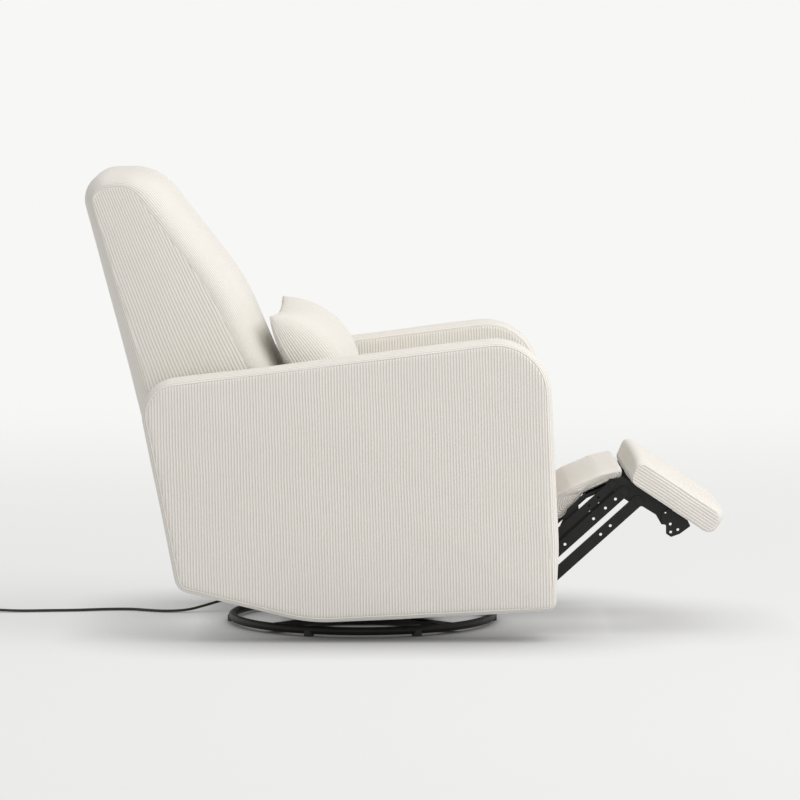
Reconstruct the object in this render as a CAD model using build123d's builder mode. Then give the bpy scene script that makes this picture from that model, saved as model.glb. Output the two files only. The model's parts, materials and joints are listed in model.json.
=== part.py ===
# Power swivel glider with a footrest, as posed in the photograph.
# X points forward, Y to the sitter's left and Z up; the origin is the swivel axis on the floor.
from build123d import *
import math
import os

os.makedirs("parts", exist_ok=True)

# Upholstered body
overall_width = 770
arm_thickness = 114
arm_half = overall_width / 2
arm_inner = arm_half - arm_thickness
arm_edge_radius = 16
arm_corners = [(414, 66), (-112, 40), (-398, 112), (-486, 552), (396, 661), (419, 200)]
arm_radii = [22, 350, 34, 75, 118, 600]
arm_board_thickness = 16
arm_board_x = (-330, 350)
arm_board_z = (130, 470)

# Swivel base
ring_diameter = 592
ring_bar = 18
foot_height = 4
foot_radius = 11
foot_angles = [0, 66, 114, 180, 246, 294]
hub_radius = 75
spoke_width = 36
cross_thickness = 8
race_radius = 52
ball_radius = 4
ball_count = 16
groove_clearance = 0.25
race_gap = 4
turntable_size = (320, 170, 6)
turntable_corner = 20
kingpin_radius = 12
kingpin_head = 6
kingpin_head_radius = 20.4

# Parallel glide links
glide_pivot_x = 130
glide_top_z = 205
glide_length = 125
glide_pin_radius = 6
glide_head_radius = 9.6
glide_link_width = 26
pin_head = 3
pin_overrun = 1
stand_inner = 160
upright_width = 36
plate = 5
plate_gap = 2
crossbar_size = (36, 2 * (stand_inner + plate), 12)
running_clearance = 0.3

# Carriage under the seat
carriage_overhang = 35
carriage_edge = 18
carriage_corner = 16
flange_width = 30
flange_corner = 2
lightening_radius = 38
lightening_x = 60
lightening_z = 180

# Seat frame
rail_thickness = 20
rail_x = (-345, 362)
rail_z = (250, 385)
rail_inner = arm_inner - rail_thickness
cross_rail_x = 135
cross_rail_size = (30, 40)
cross_rail_bottom = 300
seat_rail_size = (30, 30)
seat_rail_x = (-45, 345)
strap_width = 50
strap_thickness = 3
strap_count = 5
strap_margin = 71
bolt_radius = 4
bolt_head = 6
bolt_head_radius = 7.6
rail_bolt_inset = 18
rail_bolt_length = 40
arm_bolt_spots = [(-200, 300), (-60, 280), (90, 280), (330, 330)]
cushion_room = 9
seat_x = (-70, 402)
seat_half = arm_inner - cushion_room
seat_top = 478
seat_corner = 24
seat_stations = [(0, 0, 0), (seat_half - 82, 0, 5), (seat_half - 22, 6, 16), (seat_half, 20, 34)]

# Footrest linkage, drawn in the side view
link_angle = 42
pad_angle = -33.5
link_length = 262
middle_top = (563.4, 310.3)
upper_offset = -28.9
lower_offset = 36.7
footrest_range = (-56.5, 30)
flap_offset = (-14.3, 15.4)
swing_centre = (440, 465)
link_widths = (18, 23, 24)
link_holes = ((41, 68), (23.5, 52.5, 87, 170), (79.5, 107.5))
link_hole_radius = 3.2
link_plate = 4
layer_gap = 1
outer_layer = rail_inner - link_plate - layer_gap
arm_layer = outer_layer - link_plate - layer_gap
flap_layer = arm_layer - link_plate - layer_gap
rivet_radius = 4
rivet_head = 7
head_thickness = 1.6
pivot_bolt_radius = 6
pivot_head_radius = 10
pivot_shoulder_radius = 9
drive_radius = 85
drive_angle = -76.75
drive_tube_radius = 11

# Footrest and flap pads
board_lift = 26.2
board_u = (10, 178)
board_thickness = 8
board_half = arm_layer - 9
bracket_corner = 4
bracket_flange = (20, 3)
toe_corner = 3
toe_hole_radius = 3
pilot_hole_radius = 2
pad_half = arm_inner - 13
pad_u = (-12, 214)
pad_crown = 62
pad_corner = 17
pad_stations = [(0, 0, 0), (pad_half - 108, 0, 1), (pad_half - 23, 2, 5), (pad_half, 8, 14)]
flap_half = flap_layer - 11
flap_stations = [(0, 0), (flap_half - 75, 0.5), (flap_half - 20, 2), (flap_half, 7)]
flap_bracket_corner = 2

# Back
back_pivot = (-290, 365)
back_half = arm_inner - cushion_room
back_corners = [(-460, 395), (-618, 997), (-446, 1003), (-260, 757), (-100, 395)]
back_radii = [40, 60, 120, 600, 40]
back_roll = 122
back_roll_angles = (0, 22, 42, 60, 77, 90)
back_rear_inset = 30
back_front_inset = 75
back_bottom_inset = 42
back_panel_thickness = 8
back_panel_half = back_half - 62
back_panel_run = (-100, 545)
back_frame_half = back_half - 72
back_bracket_inner = rail_inner - plate - 6
back_bracket_radius = 22
base_bar_x = (-345, -205)
lever_radius = 160
lever_angle = -102
lever_pin_radius = 8
lever_pin_overrun = 2
lever_inner = 56
lever_outer = 64
lever_boss = 14
lever_foot = (60, 10)
lever_rise = 7

# Linear drives
drive_y = 74
drive_rod = 9
drive_tube = 15
drive_bore = 10
motor_size = (90, 60, 60)
leg_tube_x = (-60, 150)
leg_rod_end = 40
back_tube_x = (-205, 55)
back_rod_end = -120
yoke_width = 48
yoke_depth = 16
yoke_wall = 9
hanger_size = (20, 24)
back_drive_lift = 3
footrest_slot_clearance = 3.2
back_slot_clearance = 1.2

# Pillow
pillow_top = (-190, 695.9)
pillow_down = (0.6, -0.8)
pillow_height = 272
pillow_sections = [(-246, 5, 4), (-215, 46, 26), (0, 82, 46), (215, 46, 26), (246, 5, 4)]

# Switch panel in the near arm
switch_at = (250, 560)
switch_size = (76, 40, 18)
switch_flange = 3
switch_rim = 4
rocker_size = (24, 22)
rocker_gap = 0.6
rocker_spacing = 32
rocker_proud = 2
rocker_thickness = 10
rocker_edge = 1.5
rocker_axle = 2
axle_reach = 2.5
axle_end_room = 0.5
axle_clearance = 0.15

# Mains lead
cord_diameter = 6
cord_radius = cord_diameter / 2
inlet_size = (38, 38, 27)
inlet_room = 0.8
inlet_radius = ring_diameter / 2 - ring_bar - inlet_size[0] / math.sqrt(2) - inlet_room
inlet_at = (-inlet_radius / math.sqrt(2), inlet_radius / math.sqrt(2))
gland_radius = 6
gland_length = 24
cord_exit = (inlet_at[0] - inlet_size[0] / 2 - gland_length, inlet_at[1], 31.5)
cord_straight = 44
cord_route = [
    cord_exit, (cord_exit[0] - cord_straight, cord_exit[1], cord_exit[2]), (-312, 170, 25),
    (-352, 160, 14), (-392, 148, 4.5), (-440, 144, 3), (-480, 163, 3), (-518, 186, 3), (-575, 184, 3),
    (-640, 165, 3),
    (-705, 161, 3), (-770, 153, 3), (-826, 160, 4.6), (-860, 160, 4.6),
]
coil_centre = (-866, 202)
coil_radius = 42
coil_pitch = 6.8
coil_half_turns = 5
coil_tail = 38
coil_samples = 1200
tie_width = 8
tie_wall = 0.8
tie_room = 0.4
tie_slack = 3
plug_body = (34, 26)
plug_edge = 5
pin_size = (17, 1.5, 6.3)
pin_spacing = 12.7


def save(builder, name):
    builder.part.label = name
    export_step(builder.part, f"parts/{name}.step")


def polar(centre, radius, degrees):
    angle = math.radians(degrees)
    return (centre[0] + radius * math.cos(angle), centre[1] + radius * math.sin(angle))


def side_plane(inner):
    # a sketch plane facing the near side, inner millimetres from the middle
    return Plane.XZ.offset(inner)


def side_boxes(x_range, z_range, inner, outer):
    # a box on each side of the chair, for use inside a part block
    size = (x_range[1] - x_range[0], outer - inner, z_range[1] - z_range[0])
    middle = ((x_range[0] + x_range[1]) / 2, (inner + outer) / 2, (z_range[0] + z_range[1]) / 2)
    with Locations(middle, (middle[0], -middle[1], middle[2])):
        Box(*size)


def side_pins(points, radius, inner, outer):
    # a round pin on each side at every point of the side view, for use inside a part block
    for x, z in points:
        for y in (-outer, inner):
            with Locations(Location((x, y, z), (-90, 0, 0))):
                Cylinder(radius, outer - inner, align=(Align.CENTER, Align.CENTER, Align.MIN))


def drill_sides(points, radius):
    # a hole right across the chair at every point of the side view
    for x, z in points:
        with Locations(Location((x, 0, z), (-90, 0, 0))):
            Cylinder(radius, overall_width, mode=Mode.SUBTRACT)


def link_pair(start, end, width, inner, holes):
    # a flat link on each side of the chair, with a running hole at both ends and lightening holes
    # at the stated distances from its end
    middle = ((start[0] + end[0]) / 2, (start[1] + end[1]) / 2)
    span = math.dist(start, end)
    tilt = math.degrees(math.atan2(end[1] - start[1], end[0] - start[0]))
    with BuildPart() as links:
        with BuildSketch(side_plane(inner)):
            with Locations(middle):
                SlotCenterToCenter(span, width, rotation=tilt)
            with Locations(start, end):
                Circle(rivet_radius + running_clearance, mode=Mode.SUBTRACT)
            with Locations(*[polar(end, -distance, tilt) for distance in holes]):
                Circle(link_hole_radius, mode=Mode.SUBTRACT)
        extrude(amount=link_plate)
        mirror(about=Plane.XZ)
    return links


# Base: a ring of bar stock on six glides, with a welded cross
ring_radius = (ring_diameter - ring_bar) / 2
ring_z = foot_height + ring_bar / 2
cross_bottom = ring_z - cross_thickness / 2
cross_top = ring_z + cross_thickness / 2
ball_z = cross_top + race_gap / 2

with BuildPart() as base_ring:
    with BuildSketch(Plane.XZ):
        with Locations((ring_radius, ring_z)):
            Circle(ring_bar / 2)
    revolve(axis=Axis.Z)
save(base_ring, "base_ring")

with BuildPart() as base_feet:
    for angle in foot_angles:
        with Locations((*polar((0, 0), ring_radius, angle), 0)):
            Cylinder(foot_radius, ring_z, align=(Align.CENTER, Align.CENTER, Align.MIN))
    add(base_ring.part, mode=Mode.SUBTRACT)
save(base_feet, "base_feet")

with BuildPart() as base_cross:
    with BuildSketch(Plane.XY.offset(cross_bottom)):
        Circle(hub_radius)
        with PolarLocations(0, 2, 45, 180):
            Rectangle(2 * ring_radius, spoke_width)
    extrude(amount=cross_thickness)
    add(base_ring.part, mode=Mode.SUBTRACT)
    with BuildSketch(Plane.XZ):
        with Locations((race_radius, ball_z)):
            Circle(ball_radius + groove_clearance)
    revolve(axis=Axis.Z, mode=Mode.SUBTRACT)
save(base_cross, "base_cross")

with BuildPart() as swivel_balls:
    with Locations((0, 0, ball_z)):
        with PolarLocations(race_radius, ball_count):
            Sphere(ball_radius)
save(swivel_balls, "swivel_balls")

# Turntable, held down by the head of the kingpin
turntable_bottom = cross_top + race_gap
turntable_top = turntable_bottom + turntable_size[2]

with BuildPart() as turntable:
    with BuildSketch(Plane.XY.offset(turntable_bottom)):
        RectangleRounded(turntable_size[0], turntable_size[1], turntable_corner)
        Circle(kingpin_radius + running_clearance, mode=Mode.SUBTRACT)
    extrude(amount=turntable_size[2])
    with BuildSketch(Plane.XZ):
        with Locations((race_radius, ball_z)):
            Circle(ball_radius + groove_clearance)
    revolve(axis=Axis.Z, mode=Mode.SUBTRACT)
save(turntable, "turntable")

with BuildPart() as kingpin:
    with BuildSketch(Plane.XY.offset(cross_top)):
        Circle(kingpin_radius)
    extrude(amount=turntable_top + running_clearance - cross_top)
    with BuildSketch(Plane.XY.offset(turntable_top + running_clearance)):
        RegularPolygon(kingpin_head_radius, 6)
    extrude(amount=kingpin_head)
save(kingpin, "kingpin")

# Glider stand on the turntable
crossbar_top = turntable_top + crossbar_size[2]
with BuildPart() as stand_crossbars:
    with Locations((-glide_pivot_x, 0, turntable_top), (glide_pivot_x, 0, turntable_top)):
        Box(*crossbar_size, align=(Align.CENTER, Align.CENTER, Align.MIN))
save(stand_crossbars, "stand_crossbars")

glide_tops = [(-glide_pivot_x, glide_top_z), (glide_pivot_x, glide_top_z)]
glide_bottoms = [(x, z - glide_length) for x, z in glide_tops]
with BuildPart() as glider_uprights:
    with BuildSketch(side_plane(stand_inner)):
        for x, z in glide_tops:
            with Locations((x, (crossbar_top + z) / 2)):
                Rectangle(upright_width, z - crossbar_top)
            with Locations((x, z)):
                Circle(upright_width / 2)
                Circle(glide_pin_radius, mode=Mode.SUBTRACT)
    extrude(amount=plate)
    mirror(about=Plane.XZ)
save(glider_uprights, "glider_uprights")

link_inner = stand_inner + plate + plate_gap
carriage_inner = link_inner + plate + plate_gap
carriage_outer = carriage_inner + plate
with BuildPart() as upper_glide_pins:
    side_pins(glide_tops, glide_pin_radius, stand_inner, carriage_inner - pin_overrun)
    side_pins(glide_tops, glide_head_radius, stand_inner - pin_head, stand_inner)
save(upper_glide_pins, "upper_glide_pins")

for glide_name, glide_x in (("front_glide_links", glide_pivot_x), ("rear_glide_links", -glide_pivot_x)):
    with BuildPart() as glide_links:
        with BuildSketch(side_plane(link_inner)):
            with Locations((glide_x, glide_top_z - glide_length / 2)):
                SlotCenterToCenter(glide_length, glide_link_width, rotation=90)
            with Locations((glide_x, glide_top_z), (glide_x, glide_top_z - glide_length)):
                Circle(glide_pin_radius + running_clearance, mode=Mode.SUBTRACT)
        extrude(amount=plate)
        mirror(about=Plane.XZ)
    save(glide_links, glide_name)

# Bolts: cross rails to carriage, and arms to side rails
rail_bolt_y = carriage_outer - rail_bolt_inset
rail_bolt_spots = [(x, y) for x in (-cross_rail_x, cross_rail_x) for y in (-rail_bolt_y, rail_bolt_y)]
with BuildPart() as frame_bolts:
    for x, y in rail_bolt_spots:
        with Locations((x, y, cross_rail_bottom - plate - bolt_head)):
            Cylinder(bolt_head_radius, bolt_head, align=(Align.CENTER, Align.CENTER, Align.MIN))
            Cylinder(bolt_radius, rail_bolt_length, align=(Align.CENTER, Align.CENTER, Align.MIN))
    side_pins(arm_bolt_spots, bolt_radius, rail_inner, arm_inner + arm_board_thickness)
    side_pins(arm_bolt_spots, bolt_head_radius, rail_inner - bolt_head, rail_inner)
save(frame_bolts, "frame_bolts")

# Carriage that hangs from the glide links
carriage_half = glide_pivot_x + carriage_overhang
carriage_bottom = glide_top_z - glide_length - carriage_edge
with BuildPart() as carriage_plates:
    with BuildSketch(side_plane(carriage_inner)):
        with Locations((0, (carriage_bottom + cross_rail_bottom) / 2)):
            RectangleRounded(2 * carriage_half, cross_rail_bottom - carriage_bottom, carriage_corner)
        with Locations((-lightening_x, lightening_z), (lightening_x, lightening_z)):
            Circle(lightening_radius, mode=Mode.SUBTRACT)
        with Locations(*glide_bottoms):
            Circle(glide_pin_radius, mode=Mode.SUBTRACT)
    extrude(amount=plate)
    with BuildSketch(Plane.XY.offset(cross_rail_bottom - plate)):
        with Locations((0, -carriage_outer + flange_width / 2)):
            RectangleRounded(2 * (carriage_half - carriage_corner), flange_width, flange_corner)
    extrude(amount=plate)
    mirror(about=Plane.XZ)
    add(frame_bolts.part, mode=Mode.SUBTRACT)
save(carriage_plates, "carriage_plates")

with BuildPart() as lower_glide_pins:
    side_pins(glide_bottoms, glide_pin_radius, link_inner - pin_overrun, carriage_outer)
    side_pins(glide_bottoms, glide_head_radius, carriage_outer, carriage_outer + pin_head)
save(lower_glide_pins, "lower_glide_pins")

# Wooden seat frame
with BuildPart() as cross_rails:
    for x in (-cross_rail_x, cross_rail_x):
        with Locations((x, 0, cross_rail_bottom)):
            Box(cross_rail_size[0], 2 * rail_inner, cross_rail_size[1],
                align=(Align.CENTER, Align.CENTER, Align.MIN))
    add(frame_bolts.part, mode=Mode.SUBTRACT)
save(cross_rails, "cross_rails")

rear_arm_pivot = (
    swing_centre[0] - link_length * math.cos(math.radians(link_angle)),
    swing_centre[1] - link_length * math.sin(math.radians(link_angle)),
)
with BuildPart() as side_rails:
    side_boxes(rail_x, rail_z, rail_inner, arm_inner)
    drill_sides([rear_arm_pivot, back_pivot], pivot_bolt_radius)
    drill_sides(arm_bolt_spots, bolt_radius)
save(side_rails, "side_rails")

with BuildPart() as seat_rails:
    for x in seat_rail_x:
        with Locations((x, 0, rail_z[1])):
            Box(seat_rail_size[0], 2 * rail_inner, seat_rail_size[1],
                align=(Align.CENTER, Align.CENTER, Align.MAX))
save(seat_rails, "seat_rails")

strap_spacing = 2 * (rail_inner - strap_margin) / (strap_count - 1)
strap_length = seat_rail_x[1] - seat_rail_x[0] + seat_rail_size[0]
with BuildPart() as seat_webbing:
    with Locations(((seat_rail_x[0] + seat_rail_x[1]) / 2, 0, rail_z[1] + strap_thickness / 2)):
        with GridLocations(0, strap_spacing, 1, strap_count):
            Box(strap_length, strap_width, strap_thickness)
save(seat_webbing, "seat_webbing")

seat_bottom = rail_z[1] + strap_thickness
with BuildPart() as seat_cushion:
    for y, inset, drop in [(-y, i, d) for y, i, d in reversed(seat_stations)] + seat_stations[1:]:
        with BuildSketch(side_plane(-y)):
            top = seat_top - drop
            with Locations(((seat_x[0] + seat_x[1]) / 2, (seat_bottom + top) / 2)):
                RectangleRounded(seat_x[1] - seat_x[0] - 2 * inset, top - seat_bottom, seat_corner)
    loft()
save(seat_cushion, "seat_cushion")

# Arms: a padded panel over a plywood board
with BuildPart() as arm_boards:
    side_boxes(arm_board_x, arm_board_z, arm_inner, arm_inner + arm_board_thickness)
    drill_sides(arm_bolt_spots, bolt_radius)
save(arm_boards, "arm_boards")

switch_depth = switch_size[2]
for arm_name, arm_side in (("arm_right", -1), ("arm_left", 1)):
    with BuildPart() as arm:
        with BuildSketch(side_plane(-arm_side * arm_inner)):
            with BuildLine():
                FilletPolyline(*arm_corners, radius=arm_radii, close=True)
            make_face()
        extrude(amount=-arm_side * arm_thickness)
        fillet(arm.faces().sort_by(Axis.Y)[0].edges(), arm_edge_radius)
        fillet(arm.faces().sort_by(Axis.Y)[-1].edges(), arm_edge_radius)
        add(arm_boards.part, mode=Mode.SUBTRACT)
        add(frame_bolts.part, mode=Mode.SUBTRACT)
        if arm_side < 0:
            with Locations((switch_at[0], -arm_inner, switch_at[1])):
                Box(switch_size[0] - 2 * switch_rim, switch_depth, switch_size[1] - 2 * switch_rim,
                    align=(Align.CENTER, Align.MAX, Align.CENTER), mode=Mode.SUBTRACT)
    save(arm, arm_name)

# Switch panel with two rockers, in the inner face of the near arm
rocker_y = -arm_inner
flange_y = -arm_inner + switch_flange
rocker_spots = [switch_at[0] - rocker_spacing / 2, switch_at[0] + rocker_spacing / 2]
with BuildPart() as switch_housing:
    with Locations((switch_at[0], -arm_inner, switch_at[1])):
        Box(switch_size[0], switch_flange, switch_size[1], align=(Align.CENTER, Align.MIN, Align.CENTER))
        Box(switch_size[0] - 2 * switch_rim, switch_depth, switch_size[1] - 2 * switch_rim,
            align=(Align.CENTER, Align.MAX, Align.CENTER))
    for x in rocker_spots:
        with Locations((x, flange_y, switch_at[1])):
            Box(rocker_size[0] + 2 * rocker_gap, switch_depth, rocker_size[1] + 2 * rocker_gap,
                align=(Align.CENTER, Align.MAX, Align.CENTER), mode=Mode.SUBTRACT)
        with Locations(Location((x, rocker_y, switch_at[1]), (0, 90, 0))):
            Cylinder(rocker_axle + axle_clearance, rocker_size[0] + 2 * (axle_reach + axle_end_room),
                     mode=Mode.SUBTRACT)
save(switch_housing, "switch_housing")

for rocker_name, x in zip(("footrest_rocker", "back_rocker"), rocker_spots):
    with BuildPart() as rocker:
        with Locations((x, flange_y + rocker_proud, switch_at[1])):
            Box(rocker_size[0], rocker_thickness, rocker_size[1],
                align=(Align.CENTER, Align.MAX, Align.CENTER))
        fillet(rocker.edges().filter_by(Axis.X), rocker_edge)
        with Locations(Location((x, rocker_y, switch_at[1]), (0, 90, 0))):
            Cylinder(rocker_axle, rocker_size[0] + 2 * axle_reach)
    save(rocker, rocker_name)

# Lower closing panel between the rear edges of the arms
rear_panel_points = [(-398, 128), (-425, 262), (-417, 262), (-390, 128)]
with BuildPart() as rear_panel:
    with BuildSketch(Plane.XZ):
        with BuildLine():
            Polyline(*rear_panel_points, close=True)
        make_face()
    extrude(amount=arm_inner, both=True)
save(rear_panel, "rear_panel")

# Pivot bolts in the side rails, with a shoulder that spaces the swinging plates
rear_arm_outer = arm_layer + link_plate
back_bracket_outer = back_bracket_inner + plate
with BuildPart() as pivot_bolts:
    for pivot, inside, outside in (
        (rear_arm_pivot, arm_layer - pin_overrun, rear_arm_outer + running_clearance),
        (back_pivot, back_bracket_inner - pin_overrun, back_bracket_outer + running_clearance),
    ):
        side_pins([pivot], pivot_bolt_radius, inside, arm_inner)
        side_pins([pivot], pivot_head_radius, inside - pin_head, inside)
        side_pins([pivot], pivot_shoulder_radius, outside, rail_inner)
save(pivot_bolts, "pivot_bolts")

# Footrest linkage: links that stay parallel while the rear arms swing
pad_direction = polar((0, 0), 1, pad_angle)
pad_normal = polar((0, 0), 1, pad_angle + 90)
link_reach = polar((0, 0), link_length, link_angle)


def on_footrest(u, w):
    # a point of the side view, u along the footrest and w square to it, from the middle link's top pivot
    return (
        middle_top[0] + u * pad_direction[0] + w * pad_normal[0],
        middle_top[1] + u * pad_direction[1] + w * pad_normal[1],
    )


def footrest_plane(y):
    # a sketch plane in footrest directions, facing the near side
    return Plane(
        origin=(middle_top[0], y, middle_top[1]),
        x_dir=(pad_direction[0], 0, pad_direction[1]),
        z_dir=(0, -1, 0),
    )


link_tops = [on_footrest(upper_offset, 0), middle_top, on_footrest(lower_offset, 0)]
link_bottoms = [(x - link_reach[0], z - link_reach[1]) for x, z in link_tops]
flap_top = on_footrest(*flap_offset)
flap_bottom = (flap_top[0] - link_reach[0], flap_top[1] - link_reach[1])
drive_point = polar(rear_arm_pivot, drive_radius, drive_angle)

for k, link_name in enumerate(("upper_links", "middle_links", "lower_links")):
    save(link_pair(link_bottoms[k], link_tops[k], link_widths[k], outer_layer, link_holes[k]), link_name)

arm_outline = [(rear_arm_pivot, 17), (drive_point, 17), (link_bottoms[0], 12), (link_bottoms[2], 13)]
with BuildPart() as rear_arms:
    with BuildSketch(side_plane(arm_layer)):
        for spot, radius in arm_outline:
            with Locations(spot):
                Circle(radius)
        make_hull()
        with Locations(rear_arm_pivot):
            Circle(pivot_bolt_radius + running_clearance, mode=Mode.SUBTRACT)
        with Locations(*link_bottoms, flap_bottom):
            Circle(rivet_radius, mode=Mode.SUBTRACT)
    extrude(amount=link_plate)
    mirror(about=Plane.XZ)
save(rear_arms, "rear_arms")

with BuildPart() as torque_tube:
    with Locations(Location((drive_point[0], 0, drive_point[1]), (90, 0, 0))):
        Cylinder(drive_tube_radius, 2 * arm_layer)
save(torque_tube, "torque_tube")


def rivet_group(outer_points, inner_point):
    # rivets that carry the outer links and, with heads inside, the flap brackets
    outer_end = outer_layer + link_plate + running_clearance
    inner_end = flap_layer - running_clearance
    with BuildPart() as rivets:
        side_pins(outer_points, rivet_radius, arm_layer, outer_end)
        side_pins(outer_points, rivet_head, outer_end, outer_end + head_thickness)
        side_pins([inner_point], rivet_radius, inner_end, rear_arm_outer)
        side_pins([inner_point], rivet_head, inner_end - head_thickness, inner_end)
    return rivets


save(rivet_group(link_bottoms, flap_bottom), "rear_arm_rivets")
save(rivet_group(link_tops, flap_top), "footrest_rivets")

# Footrest: steel brackets with a toe plate, a board and its pad
bracket_outline = [
    (-41, -6), (-31, -12), (40, -12), (52, -4), (86, -3), (108, -14), (116, -9), (112, board_lift),
    (-18, board_lift), (-41, 6),
]
toe_outline = [
    (94, 10), (104, 25), (150, 25), (162, 18), (152, -9), (140, -25), (127, -25), (117, -10), (104, -11),
]
toe_holes = [(133.6, -16.5), (143.5, -3.6), (123.2, -2.5)]
pilot_hole = (101, 12)
flange_u = (6, 104)
with BuildPart() as footrest_brackets:
    with BuildSketch(footrest_plane(-arm_layer)):
        with BuildLine():
            FilletPolyline(*bracket_outline, radius=bracket_corner, close=True)
        make_face()
        with Locations((upper_offset, 0), (0, 0), (lower_offset, 0), flap_offset):
            Circle(rivet_radius, mode=Mode.SUBTRACT)
    extrude(amount=link_plate)
    with BuildSketch(footrest_plane(-arm_layer - link_plate)):
        with BuildLine():
            FilletPolyline(*toe_outline, radius=toe_corner, close=True)
        make_face()
        with Locations(*toe_holes):
            Circle(toe_hole_radius, mode=Mode.SUBTRACT)
    extrude(amount=link_plate)
    with BuildSketch(footrest_plane(-arm_layer + bracket_flange[0])):
        with Locations(((flange_u[0] + flange_u[1]) / 2, board_lift - bracket_flange[1] / 2)):
            Rectangle(flange_u[1] - flange_u[0], bracket_flange[1])
    extrude(amount=bracket_flange[0] + link_plate)
    with BuildSketch(footrest_plane(-arm_layer)):
        with Locations(pilot_hole):
            Circle(pilot_hole_radius)
    extrude(amount=2 * link_plate, mode=Mode.SUBTRACT)
    mirror(about=Plane.XZ)
save(footrest_brackets, "footrest_brackets")

with BuildPart() as footrest_board:
    with BuildSketch(footrest_plane(0)):
        with Locations(((board_u[0] + board_u[1]) / 2, board_lift + board_thickness / 2)):
            Rectangle(board_u[1] - board_u[0], board_thickness)
    extrude(amount=board_half, both=True)
save(footrest_board, "footrest_board")

with BuildPart() as footrest_pad:
    for y, inset, drop in [(-y, i, d) for y, i, d in reversed(pad_stations)] + pad_stations[1:]:
        with BuildSketch(footrest_plane(y)):
            with Locations(((pad_u[0] + pad_u[1]) / 2, board_lift + (pad_crown - drop) / 2)):
                RectangleRounded(pad_u[1] - pad_u[0] - 2 * inset, pad_crown - drop, pad_corner)
    loft()
    add(footrest_board.part, mode=Mode.SUBTRACT)
save(footrest_pad, "footrest_pad")

# Flap between the seat and the footrest, on brackets that swing as a fourth link; the outline runs
# along the bracket from its lower pivot, and square to it
flap_bracket_shape = [
    (-8, -8), (14, -8), (26, 3), (236, 3), (248, -8), (270, -8), (270, 9), (250, 16), (152, 16),
    (160, 27), (188, 31), (186, 36), (136, 35), (94, 16), (20, 16), (-8, 9),
]
flap_bracket_outline = [
    polar(polar(flap_bottom, along, link_angle), across, link_angle + 90)
    for along, across in flap_bracket_shape
]
with BuildPart() as flap_brackets:
    with BuildSketch(side_plane(flap_layer)):
        with BuildLine():
            FilletPolyline(*flap_bracket_outline, radius=flap_bracket_corner, close=True)
        make_face()
        with Locations(flap_top, flap_bottom):
            Circle(rivet_radius + running_clearance, mode=Mode.SUBTRACT)
        with Locations(*[polar(link_tops[0], -distance, link_angle) for distance in link_holes[0]]):
            Circle(link_hole_radius, mode=Mode.SUBTRACT)
    extrude(amount=link_plate)
    mirror(about=Plane.XZ)
save(flap_brackets, "flap_brackets")

flap_board_outline = [(478, 301), (544, 330), (547, 323), (481, 294)]
with BuildPart() as flap_board:
    with BuildSketch(Plane.XZ):
        with BuildLine():
            Polyline(*flap_board_outline, close=True)
        make_face()
    extrude(amount=flap_layer, both=True)
save(flap_board, "flap_board")

flap_outline = [
    (562, 338), (566, 362), (513, 350), (450, 323), (398, 292), (398, 240), (432, 246), (478, 301),
]
flap_radii = [9, 9, 60, 60, 18, 16, 30, 40]
with BuildPart() as flap_pad:
    for y, inset in [(-y, i) for y, i in reversed(flap_stations)] + flap_stations[1:]:
        with BuildSketch(side_plane(-y)):
            with BuildLine():
                FilletPolyline(*flap_outline, radius=flap_radii, close=True)
            make_face()
            if inset:
                offset(amount=-inset)
    loft()
    add(flap_board.part, mode=Mode.SUBTRACT)
save(flap_pad, "flap_pad")


# Linear drives: a motor with a fixed tube, and a rod whose slotted yoke moves the linkage
def motor(y, z, tube_x, box_side):
    box_x = tube_x[0] if box_side < 0 else tube_x[1]
    near = Align.MAX if box_side < 0 else Align.MIN
    with BuildPart() as drive:
        with Locations(Location((tube_x[0], y, z), (0, 90, 0))):
            Cylinder(drive_tube, tube_x[1] - tube_x[0], align=(Align.CENTER, Align.CENTER, Align.MIN))
            Cylinder(drive_bore, tube_x[1] - tube_x[0], align=(Align.CENTER, Align.CENTER, Align.MIN),
                     mode=Mode.SUBTRACT)
        with Locations((box_x, y, z)):
            Box(*motor_size, align=(near, Align.CENTER, Align.CENTER))
    return drive


def drive_rod_with_yoke(y, z, yoke_x, rod_end, pin_radius, pin_heights, slot_clearance):
    slot_low = pin_heights[0] - pin_radius - slot_clearance
    slot_high = pin_heights[1] + pin_radius + slot_clearance
    direction = 1 if rod_end > yoke_x else -1
    edge = yoke_x + direction * yoke_width / 2
    with BuildPart() as rod:
        with Locations((yoke_x, y, (slot_low + slot_high) / 2)):
            Box(yoke_width, yoke_depth, slot_high - slot_low + 2 * yoke_wall)
            Box(2 * (pin_radius + slot_clearance), yoke_depth, slot_high - slot_low, mode=Mode.SUBTRACT)
        with Locations(Location((min(edge, rod_end), y, z), (0, 90, 0))):
            Cylinder(drive_rod, abs(edge - rod_end), align=(Align.CENTER, Align.CENTER, Align.MIN))
    return rod


leg_low = rear_arm_pivot[1] - drive_radius
leg_high = rear_arm_pivot[1] + drive_radius * math.sin(math.radians(drive_angle + footrest_range[1]))
leg_axis_z = (leg_low + leg_high) / 2
lever_pin = polar(back_pivot, lever_radius, lever_angle)
back_low = back_pivot[1] - lever_radius
back_axis_z = back_low + back_drive_lift
save(motor(-drive_y, leg_axis_z, leg_tube_x, -1), "footrest_motor")
save(motor(drive_y, back_axis_z, back_tube_x, 1), "back_motor")
footrest_rod = drive_rod_with_yoke(
    -drive_y, leg_axis_z, drive_point[0], leg_rod_end, drive_tube_radius, (leg_low, leg_high),
    footrest_slot_clearance,
)
save(footrest_rod, "footrest_rod")
back_rod = drive_rod_with_yoke(
    drive_y, back_axis_z, lever_pin[0], back_rod_end, lever_pin_radius, (back_low, back_low + lever_rise),
    back_slot_clearance,
)
save(back_rod, "back_rod")

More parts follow.
